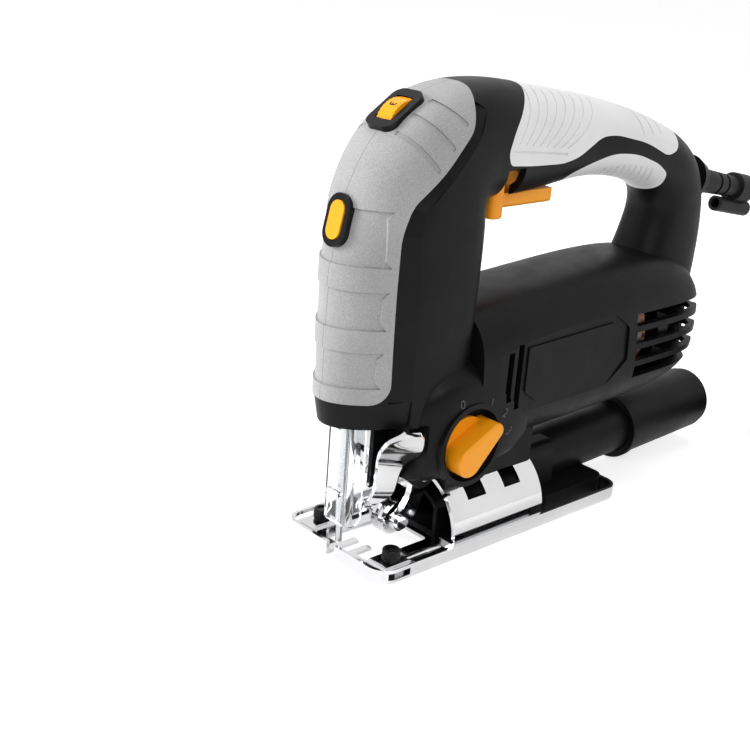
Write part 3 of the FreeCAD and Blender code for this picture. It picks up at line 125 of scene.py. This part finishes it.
# Plug, in metres
PLUG_MOUTH = Vector((-0.252, 0.0798, 0.0388))
CORD_IN_BOOT = 0.012
PIN_ASIDE = 0.0095
PIN_PROFILE = [(0.0525, 0.00243), (0.0690, 0.00243), (0.0703, 0.0018), (0.0706, 0.0)]   # (along, radius)
PIN_SIDES = 24

# Raised numbers, in metres
FONT_PER_HEIGHT = 1.4                    # font size for a character one unit high
BEVEL_PER_DEPTH = 0.4
SELECTOR_CENTRE = Vector((0.028, 0, 0.0535))
SELECTOR_MARKS = {"0": (0.036, 0.074), "1": (0.018, 0.071), "2": (0.0085, 0.0645), "3": (0.0045, 0.055)}
SELECTOR_MARK_HIGH, SELECTOR_MARK_DEPTH = 0.0042, 0.0002
SELECTOR_LEAN = 0.5                      # share of a mark's own angle that it leans by
BESIDE_HOUSING = 0.06

# Speed thumbwheel, in metres and degrees
WHEEL_AT = Vector((0.0551, 0, 0.1887))
SPEEDS = 6
SHOWN_SPEED, SHOWN_AT, SPEED_STEP = 3, 56, 45
SPEED_MARK_HIGH, SPEED_MARK_DEPTH = 0.0036, 0.0001
PATCH_TOP = 0.01214                      # radius of the plain patches that carry the numbers
PATCH_PROFILE = [(0.0108, -0.0030), (0.01205, -0.0030), (PATCH_TOP, -0.0028),
                 (PATCH_TOP, 0.0028), (0.01205, 0.0030), (0.0108, 0.0030)]              # (radius, across)
PATCH_HALF, PATCH_STEPS = 9, 6

# Floor and surroundings
FLOOR_HALF = 6.0                         # metres
FLOOR_COLOUR = (0.86, 0.86, 0.86, 1)
FLOOR_GLOW = 0.62                        # what the camera sees of the floor beyond its lit colour
FLOOR_IN_MIRROR = 0.45                   # share of it that reflections see
CAMERA_SIDE = (0.687, 0.727, 0)          # level direction from the part to the camera
MIRROR_BRIGHT, MIRROR_DARK = 0.9, 0.04   # what reflections see outside the dark zone and in it
ZONE_TOP = (0.55, 0.30)                  # upward part of a direction where the zone starts, and is full
ZONE_SIDE = (0.10, 0.55)                 # the same for its part towards the camera
SKY = 0.40

# Soft lamps: place, width and height in metres, power in watts, and whether reflections show it
LAMPS_AIM = Vector((-0.02, 0, 0.1))
LAMPS = {
    "key": ((0.4, 1.0, 0.9), 0.9, 0.7, 5.5, True),
    "front": ((1.0, -0.8, 0.55), 0.5, 0.9, 20, False),
    "top": ((-0.2, -0.2, 1.3), 1.0, 1.0, 6.6, True),
}


# ---------------------------------------------------------------- materials

class Graph:
    """A node tree, built up node by node."""

    def __init__(self, tree):
        self.tree = tree

    def find(self, kind):
        return next(n for n in self.tree.nodes if n.type == kind)

    def feed(self, socket, value):
        """Links an output to the socket, or sets the socket's own constant."""
        if isinstance(value, bpy.types.NodeSocket):
            self.tree.links.new(value, socket)
        else:
            socket.default_value = value

    def node(self, kind, *values, operation=None, **named):
        """A new node, with values on its sockets in order or by name."""
        made = self.tree.nodes.new("ShaderNode" + kind)
        if operation:
            made.operation = operation
        for socket, value in zip(made.inputs, values):
            self.feed(socket, value)
        for name, value in named.items():
            self.feed(made.inputs[name], value)
        return made

    def math(self, operation, *values):
        return self.node("Math", *values, operation=operation).outputs[0]

    def ramp(self, value, low, high, start=0.0, end=1.0):
        """Value mapped from low..high to start..end."""
        return self.node("MapRange", value, low, high, start, end).outputs[0]


class Look(Graph):
    """One node material."""

    def __init__(self, name):
        self.material = bpy.data.materials.new(name)
        self.material.use_nodes = True
        super().__init__(self.material.node_tree)
        self.shader = self.find("BSDF_PRINCIPLED")
        self.place = self.node("TexCoord").outputs["Object"]

    def set(self, **inputs):
        for name, value in inputs.items():
            self.feed(self.shader.inputs[name.replace("_", " ")], value)

    def noise(self, size, detail=2.0, roughness=0.5, stretch=None):
        """Noise whose blobs are about size metres across."""
        place = self.place
        if stretch:
            place = self.node("Mapping", Vector=place, Scale=stretch).outputs["Vector"]
        return self.node("TexNoise", Vector=place, Scale=1 / size, Detail=detail,
                         Roughness=roughness).outputs["Fac"]

    def colour(self, factor, a, b):
        """Colour a where the factor is 0, and colour b where it is 1."""
        mix = self.node("Mix")
        mix.data_type = "RGBA"
        self.feed(mix.inputs["Factor"], factor)
        for socket, value in ((mix.inputs[6], a), (mix.inputs[7], b)):
            self.feed(socket, value if isinstance(value, bpy.types.NodeSocket) else (*value, 1))
        return mix.outputs[2]

    def bump(self, height, depth):
        return self.node("Bump", Height=height, Distance=depth, Strength=1.0).outputs["Normal"]


def moulded(name, low, high, roughness, grain, depth, specular=0.5, pit_shade=0.0, seam=False):
    """Moulded plastic or rubber with a fine spark-eroded grain."""
    look = Look(name)
    fine = look.noise(grain, 1.5, 0.6)
    tint = look.colour(look.ramp(look.noise(TINT_CLOUDS, 3), *SPREAD), low, high)
    # Painted shade: the grain's pits, the low points of the bump noise, are darkened as if shaded
    if pit_shade:
        tint = look.colour(look.ramp(fine, *PITS, 0, pit_shade), tint, (0, 0, 0))
    if seam:
        across = look.node("SeparateXYZ", look.place).outputs["Y"]
        line = look.math("LESS_THAN", look.math("ABSOLUTE", across), SEAM_HALF)
        tint = look.colour(line, tint, (SEAM_SHADE, SEAM_SHADE, SEAM_SHADE))
    sheen = look.ramp(look.noise(SHEEN_CLOUDS, 3), *SPREAD,
                      roughness - SHEEN_SPREAD, roughness + SHEEN_SPREAD)
    look.set(Base_Color=tint, Roughness=sheen, Specular_IOR_Level=specular, Normal=look.bump(fine, depth))
    return look.material


def metal(name, colour, roughness, scratch):
    """Metal with soft clouds and fine streaks along x."""
    look = Look(name)
    clouds = look.ramp(look.noise(METAL_TINT_CLOUDS, 3), *SPREAD)
    sheen = look.ramp(look.noise(METAL_SHEEN_CLOUDS, 4), *METAL_SPREAD,
                      *(roughness * share for share in METAL_SHEEN))
    streaks = look.noise(STREAKS, 2, 0.6, stretch=STREAK_STRETCH)
    look.set(Base_Color=look.colour(clouds, [c * METAL_DULL for c in colour], colour), Metallic=1.0,
             Roughness=sheen, Normal=look.bump(streaks, scratch))
    return look.material


def clear(name):
    """Clear plastic with faint moulding waves."""
    look = Look(name)
    look.set(Base_Color=CLEAR_COLOUR, Transmission_Weight=1.0, IOR=CLEAR_IOR,
             Roughness=look.ramp(look.noise(CLEAR_SHEEN_CLOUDS, 3), *CLEAR_SPREAD, *CLEAR_ROUGHNESS),
             Normal=look.bump(look.noise(CLEAR_WAVES, 2), CLEAR_WAVE_HEIGHT))
    return look.material


def make_looks():
    looks = {name: moulded(name, **facts) for name, facts in MOULDED.items()}
    looks.update({name: metal(name, **facts) for name, facts in METALS.items()})
    looks["clear_plastic"] = clear("clear_plastic")
    return looks


def dress_nodes(looks):
    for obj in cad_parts.values():
        for slot in obj.material_slots:
            name = slot.material.name.split(".")[0]
            slot.material = looks[name]


# ---------------------------------------------------------------- objects

def add_object(name, data):
    obj = bpy.data.objects.new(name, data)
    bpy.context.collection.objects.link(obj)
    return obj


def add_mesh(name, verts, faces, material):
    mesh = bpy.data.meshes.new(name)
    mesh.from_pydata(verts, [], faces)
    mesh.update()
    mesh.materials.append(material)
    return add_object(name, mesh)


# ---------------------------------------------------------------- the cord

def smooth(s):
    s = min(1.0, max(0.0, s))
    return s * s * (3 - 2 * s)


def coil_points():
    """Clockwise turns of the put-away cord: four layers of two, then over the top to the plug."""
    columns = [COIL_OUTER, COIL_INNER, COIL_INNER, COIL_OUTER]
    places = [(columns[k % 4], CORD_D * (k // 2 + 0.5)) for k in range(COIL_PLACES)]
    top = places[-1][1]
    landed = Vector(CORD_ROUTE[-1]) - COIL_CENTRE
    start = math.atan2(landed.y, landed.x) - math.tau / PER_TURN
    turns = len(places) + (start - math.pi / 2) / math.tau
    # The cord touches the middles of its control polygon's sides, so the corners lie further out
    corner = 1 / math.cos(math.pi / PER_TURN)
    mouth = PLUG_MOUTH - Vector((0, COIL_INNER, 0)) - COIL_CENTRE
    points = []
    count = round(turns * PER_TURN)
    for i in range(count + 1):
        t = turns * i / count
        k = min(len(places) - 2, max(0, math.floor(t - SHIFT_FROM)))
        s = smooth((t - k - SHIFT_FROM) / SHIFT_LONG)
        radius, height = (a + (b - a) * s for a, b in zip(places[k], places[k + 1]))
        lean = LEAN * smooth((t - LEAN_FROM) / LEAN_LONG)
        climb = smooth((t - CLIMB_FROM) / CLIMB_LONG)
        over = smooth((t - OVER_FROM) / OVER_LONG)
        radius += (COIL_INNER - COIL_OUTER) * over
        height += CORD_D * climb + (mouth.z - top - CORD_D) * over
        angle = start - math.tau * t
        x = lean + (mouth.x - lean) * over + radius * corner * math.cos(angle)
        y = mouth.y * over + radius * corner * math.sin(angle)
        points.append(COIL_CENTRE + Vector((x, y, height)))
    return points


def cord_points():
    """Control points of the cord: the free stretch, the coil, and the way into the plug's boot."""
    free = [CORD_ROOT + CORD_OUT * RELIEF_LONG] + [Vector(p) for p in CORD_ROUTE]
    return free + coil_points() + [PLUG_MOUTH + Vector((CORD_IN_BOOT, 0, 0))]


def nurbs(name, points, radius):
    """A round tube along a quadratic NURBS curve, with closed ends."""
    data = bpy.data.curves.new(name, "CURVE")
    data.dimensions = "3D"
    spline = data.splines.new("NURBS")
    spline.points.add(len(points) - 1)
    for point, place in zip(spline.points, points):
        point.co = (*place, 1)
    spline.order_u = 3
    spline.use_endpoint_u = True
    spline.resolution_u = 6
    data.bevel_depth = radius
    data.bevel_resolution = 6
    data.use_fill_caps = True
    return add_object(name, data)


def make_cord(looks):
    flex = nurbs("power_cord", cord_points(), CORD_D / 2)
    flex.data.materials.append(looks["cord_rubber"])
    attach(flex, HOUSING)
    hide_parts("cord_run", "cord_coil")


def pin_sleeves(looks):
    """Bright metal on the plug's two pins, with chamfered tips."""
    n = PIN_SIDES
    rings, tip = PIN_PROFILE[:-1], PIN_PROFILE[-1][0]
    angles = [math.tau * i / n for i in range(n)]
    last = (len(rings) - 1) * n
    faces = [(k * n + i, k * n + (i + 1) % n, (k + 1) * n + (i + 1) % n, (k + 1) * n + i)
             for k in range(len(rings) - 1) for i in range(n)]
    faces += [(last + i, last + (i + 1) % n, last + n) for i in range(n)]
    faces.append(tuple(reversed(range(n))))
    for side in (-1, 1):
        place = PLUG_MOUTH + Vector((0, side * PIN_ASIDE, 0))
        verts = [place + Vector((x, r * math.cos(a), r * math.sin(a))) for x, r in rings for a in angles]
        verts.append(place + Vector((tip, 0, 0)))
        pin = add_mesh("plug_pin", verts, faces, looks["chrome_steel"])
        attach(pin, HOUSING)


# ---------------------------------------------------------------- numbers

def surface_tree(node):
    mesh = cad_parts[node].data
    return BVHTree.FromPolygons([v.co for v in mesh.vertices], [p.vertices for p in mesh.polygons])


def raised_text(name, text, height, place, reading, up, depth, material, body):
    """A raised character as a mesh, standing on the surface at place."""
    curve = bpy.data.curves.new(name, "FONT")
    curve.body = text
    curve.size = height * FONT_PER_HEIGHT
    curve.align_x, curve.align_y = "CENTER", "CENTER"
    curve.extrude = depth
    curve.bevel_depth = depth * BEVEL_PER_DEPTH
    curve.bevel_resolution = 1
    source = add_object(name + "_source", curve)
    graph = bpy.context.evaluated_depsgraph_get()
    mesh = bpy.data.meshes.new_from_object(source.evaluated_get(graph))
    bpy.data.objects.remove(source)
    turn = Matrix((reading, up, reading.cross(up))).transposed().to_4x4()
    mesh.transform(Matrix.Translation(place) @ turn)
    mesh.materials.clear()
    mesh.materials.append(material)
    obj = add_object(name, mesh)
    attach(obj, body)


def selector_numbers(looks):
    """0 to 3 round the orbital selector, each leaning a little way along the circle."""
    tree = surface_tree("housing_left")
    for text, (x, z) in SELECTOR_MARKS.items():
        hit, normal, _, _ = tree.ray_cast(Vector((x, BESIDE_HOUSING, z)), Vector((0, -1, 0)))
        lean = SELECTOR_LEAN * math.atan2(x - SELECTOR_CENTRE.x, z - SELECTOR_CENTRE.z)
        up = Vector((math.sin(lean), 0, math.cos(lean)))
        up = (up - normal * up.dot(normal)).normalized()
        raised_text("mark_" + text, text, SELECTOR_MARK_HIGH, hit, up.cross(normal), up,
                    SELECTOR_MARK_DEPTH, looks["mark_black"], HOUSING)


def dial_patch(angle, looks):
    """Plain patch between the thumbwheel's ribs, which carries one number."""
    n, half = len(PATCH_PROFILE), math.radians(PATCH_HALF)
    verts, faces = [], []
    for i in range(PATCH_STEPS + 1):
        a = angle - half + 2 * half * i / PATCH_STEPS
        verts += [WHEEL_AT + Vector((r * math.cos(a), y, r * math.sin(a))) for r, y in PATCH_PROFILE]
    for i in range(PATCH_STEPS):
        for k in range(n):
            a, b = i * n + k, i * n + (k + 1) % n
            faces.append((a, b, b + n, a + n))
    faces += [tuple(reversed(range(n))), tuple(range(PATCH_STEPS * n, PATCH_STEPS * n + n))]
    patch = add_mesh("dial_patch", verts, faces, looks["orange_plastic"])
    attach(patch, "dial")


def dial_numbers(looks):
    """The numbers of the six speeds round the thumbwheel."""
    for speed in range(1, SPEEDS + 1):
        a = math.radians(SHOWN_AT + SPEED_STEP * (speed - SHOWN_SPEED))
        dial_patch(a, looks)
        out = Vector((math.cos(a), 0, math.sin(a)))
        reading = Vector((math.sin(a), 0, -math.cos(a)))
        raised_text("speed_" + str(speed), str(speed), SPEED_MARK_HIGH, WHEEL_AT + out * PATCH_TOP, reading,
                    Vector((0, 1, 0)), SPEED_MARK_DEPTH, looks["black_gloss"], "dial")


# ---------------------------------------------------------------- floor, light and camera

def make_floor():
    """Pale floor. The camera also sees it glow, so that it fades into the white surroundings."""
    look = Look("floor")
    look.set(Base_Color=FLOOR_COLOUR, Roughness=0.9, Specular_IOR_Level=0.1)
    seen = look.node("LightPath").outputs
    mirrored = look.math("MULTIPLY", seen["Is Glossy Ray"], FLOOR_IN_MIRROR)
    direct = look.math("MAXIMUM", seen["Is Camera Ray"], seen["Is Transmission Ray"])
    strength = look.math("MULTIPLY", look.math("MAXIMUM", mirrored, direct), FLOOR_GLOW)
    glow = look.node("Emission", Color=(1, 1, 1, 1), Strength=strength)
    both = look.node("AddShader", look.shader.outputs[0], glow.outputs[0])
    look.feed(look.find("OUTPUT_MATERIAL").inputs["Surface"], both.outputs[0])
    h = FLOOR_HALF
    floor = add_mesh("floor", [(-h, -h, 0), (h, -h, 0), (h, h, 0), (-h, h, 0)], [(0, 1, 2, 3)], look.material)


def make_world():
    """White for the camera. Reflections see a dark zone low down on the camera's side."""
    world = bpy.data.worlds.new("studio")
    bpy.context.scene.world = world
    world.use_nodes = True
    graph = Graph(world.node_tree)
    background = graph.find("BACKGROUND")
    graph.feed(background.inputs["Color"], (1, 1, 1, 1))
    seen = graph.node("LightPath").outputs
    direction = graph.node("TexCoord").outputs["Generated"]
    up = graph.node("SeparateXYZ", direction).outputs["Z"]
    toward = graph.node("VectorMath", direction, CAMERA_SIDE, operation="DOT_PRODUCT").outputs["Value"]
    dark = graph.math("MULTIPLY", graph.ramp(up, *ZONE_TOP), graph.ramp(toward, *ZONE_SIDE))
    mirrored = graph.ramp(dark, 0.0, 1.0, MIRROR_BRIGHT, MIRROR_DARK)
    glossy = graph.math("MULTIPLY", mirrored, seen["Is Glossy Ray"])
    direct = graph.math("MAXIMUM", seen["Is Camera Ray"], seen["Is Transmission Ray"])
    diffuse = graph.math("MULTIPLY", seen["Is Diffuse Ray"], SKY)
    total = graph.math("MAXIMUM", graph.math("MAXIMUM", glossy, direct), diffuse)
    graph.feed(background.inputs["Strength"], total)


def make_lights():
    for name, (place, width, height, power, in_reflections) in LAMPS.items():
        data = bpy.data.lights.new(name, "AREA")
        data.shape = "RECTANGLE"
        data.size, data.size_y = width, height
        data.energy = power
        lamp = add_object(name, data)
        lamp.location = place
        lamp.rotation_euler = (LAMPS_AIM - lamp.location).to_track_quat("-Z", "Y").to_euler()
        lamp.visible_glossy = in_reflections


def make_camera():
    a, p, r = (math.radians(v) for v in (CAMERA_HEADING, CAMERA_PITCH, CAMERA_ROLL))
    forward = Vector((-math.sin(a) * math.cos(p), math.cos(a) * math.cos(p), -math.sin(p)))
    right = Vector((math.cos(a), math.sin(a), 0))
    down = forward.cross(right)
    x = right * math.cos(r) + down * math.sin(r)
    y = right * math.sin(r) - down * math.cos(r)
    data = bpy.data.cameras.new("camera")
    data.lens = CAMERA_LENS
    data.sensor_width = SENSOR
    data.clip_start = CAMERA_NEAREST
    camera = add_object("camera", data)
    camera.matrix_world = Matrix((x, y, -forward)).transposed().to_4x4()
    camera.location = CAMERA_PLACE
    bpy.context.scene.camera = camera


def main():
    looks = make_looks()
    dress_nodes(looks)
    make_cord(looks)
    pin_sleeves(looks)
    selector_numbers(looks)
    dial_numbers(looks)
    make_floor()
    make_world()
    make_lights()
    make_camera()
    bpy.context.scene.view_settings.view_transform = "Standard"


main()
